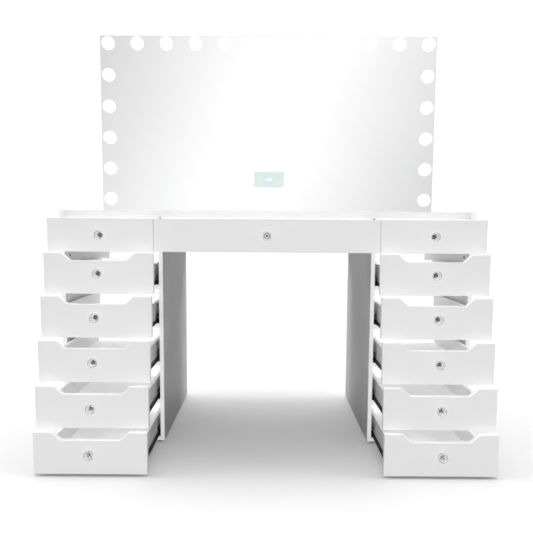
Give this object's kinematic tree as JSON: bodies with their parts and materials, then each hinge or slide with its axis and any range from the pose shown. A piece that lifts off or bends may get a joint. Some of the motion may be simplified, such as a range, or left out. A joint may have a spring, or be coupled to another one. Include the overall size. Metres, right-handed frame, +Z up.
{
  "type": "salon styling station",
  "caption": "White styling desk with two drawer pedestals, a drawered desk unit and a tall mirror edged with globe bulbs; the drawers slide.",
  "frame": {"origin": "middle of the bounding box on the floor, with the drawers partly open as at rest", "axes": "+X to the right as the customer faces the mirror, +Y towards the wall, +Z up"},
  "size_m": [1.5, 0.777, 1.626],
  "materials": {
    "case_board": "white satin lacquer on board",
    "front_board": "white satin lacquer, slightly glossy",
    "top_board": "white gloss lacquer",
    "box_board": "white foil on thin board",
    "crystal": "clear cut crystal on a polished metal base",
    "black_runner": "black coated steel, thin oil film",
    "black_screw": "black phosphated steel",
    "bumper_rubber": "soft dark rubber",
    "mirror_glass": "silvered float glass, polished edges",
    "white_sheet": "white powder-coated sheet",
    "white_steel": "white powder-coated steel",
    "opal_bulb": "opal white diffuser, slightly glossy",
    "white_plastic": "white moulded plastic",
    "display": "pale green lit touch panel behind clear glass",
    "driver_case": "pale grey moulded plastic",
    "black_plastic": "black moulded plastic",
    "cable_jacket": "white cable jacket"
  },
  "bodies": {
    "station": {"left_pedestal_sides": "case_board", "right_pedestal_sides": "case_board", "left_pedestal_decks_and_rails": "case_board", "right_pedestal_decks_and_rails": "case_board", "back_panels": "case_board", "floor_glides": "black_plastic", "desk_unit_panels": "case_board", "desk_top": "top_board", "front_bumpers": "bumper_rubber", "cabinet_runners": "black_runner", "screws": "black_screw", "mirror_glass": "mirror_glass", "mirror_frame": "case_board", "mirror_back_cover": "white_sheet", "mirror_brackets": "white_steel", "bulbs": "opal_bulb", "bulb_sockets": "white_plastic", "touch_display": "display", "led_driver": "driver_case", "power_inlet": "black_plastic", "wiring_loom": "cable_jacket"},
    "left_drawer_1": {"left_drawer_1_box": "box_board", "left_drawer_1_front": "front_board", "left_drawer_1_knob": "crystal"},
    "left_drawer_2": {"left_drawer_2_box": "box_board", "left_drawer_2_front": "front_board", "left_drawer_2_knob": "crystal"},
    "left_drawer_3": {"left_drawer_3_box": "box_board", "left_drawer_3_front": "front_board", "left_drawer_3_knob": "crystal"},
    "left_drawer_4": {"left_drawer_4_box": "box_board", "left_drawer_4_front": "front_board", "left_drawer_4_knob": "crystal"},
    "left_drawer_5": {"left_drawer_5_box": "box_board", "left_drawer_5_front": "front_board", "left_drawer_5_knob": "crystal"},
    "right_drawer_1": {"right_drawer_1_box": "box_board", "right_drawer_1_front": "front_board", "right_drawer_1_knob": "crystal"},
    "right_drawer_2": {"right_drawer_2_box": "box_board", "right_drawer_2_front": "front_board", "right_drawer_2_knob": "crystal"},
    "right_drawer_3": {"right_drawer_3_box": "box_board", "right_drawer_3_front": "front_board", "right_drawer_3_knob": "crystal"},
    "right_drawer_4": {"right_drawer_4_box": "box_board", "right_drawer_4_front": "front_board", "right_drawer_4_knob": "crystal"},
    "right_drawer_5": {"right_drawer_5_box": "box_board", "right_drawer_5_front": "front_board", "right_drawer_5_knob": "crystal"},
    "top_left_drawer": {"top_left_drawer_box": "box_board", "top_left_drawer_front": "front_board", "top_left_drawer_knob": "crystal"},
    "top_centre_drawer": {"top_centre_drawer_box": "box_board", "top_centre_drawer_front": "front_board", "top_centre_drawer_knob": "crystal"},
    "top_right_drawer": {"top_right_drawer_box": "box_board", "top_right_drawer_front": "front_board", "top_right_drawer_knob": "crystal"}
  },
  "joints": [
    {"name": "left_drawer_1_slide", "type": "slide", "parent": "station", "child": "left_drawer_1", "axis": [0, -1, 0], "range_m": [-0.121, 0.179]},
    {"name": "left_drawer_2_slide", "type": "slide", "parent": "station", "child": "left_drawer_2", "axis": [0, -1, 0], "range_m": [-0.152, 0.148]},
    {"name": "left_drawer_3_slide", "type": "slide", "parent": "station", "child": "left_drawer_3", "axis": [0, -1, 0], "range_m": [-0.179, 0.121]},
    {"name": "left_drawer_4_slide", "type": "slide", "parent": "station", "child": "left_drawer_4", "axis": [0, -1, 0], "range_m": [-0.207, 0.093]},
    {"name": "left_drawer_5_slide", "type": "slide", "parent": "station", "child": "left_drawer_5", "axis": [0, -1, 0], "range_m": [-0.231, 0.069]},
    {"name": "right_drawer_1_slide", "type": "slide", "parent": "station", "child": "right_drawer_1", "axis": [0, -1, 0], "range_m": [-0.121, 0.179]},
    {"name": "right_drawer_2_slide", "type": "slide", "parent": "station", "child": "right_drawer_2", "axis": [0, -1, 0], "range_m": [-0.152, 0.148]},
    {"name": "right_drawer_3_slide", "type": "slide", "parent": "station", "child": "right_drawer_3", "axis": [0, -1, 0], "range_m": [-0.179, 0.121]},
    {"name": "right_drawer_4_slide", "type": "slide", "parent": "station", "child": "right_drawer_4", "axis": [0, -1, 0], "range_m": [-0.207, 0.093]},
    {"name": "right_drawer_5_slide", "type": "slide", "parent": "station", "child": "right_drawer_5", "axis": [0, -1, 0], "range_m": [-0.231, 0.069]},
    {"name": "top_left_drawer_slide", "type": "slide", "parent": "station", "child": "top_left_drawer", "axis": [0, -1, 0], "range_m": [-0.088, 0.212]},
    {"name": "top_centre_drawer_slide", "type": "slide", "parent": "station", "child": "top_centre_drawer", "axis": [0, -1, 0], "range_m": [-0.088, 0.212]},
    {"name": "top_right_drawer_slide", "type": "slide", "parent": "station", "child": "top_right_drawer", "axis": [0, -1, 0], "range_m": [-0.088, 0.212]}
  ]
}
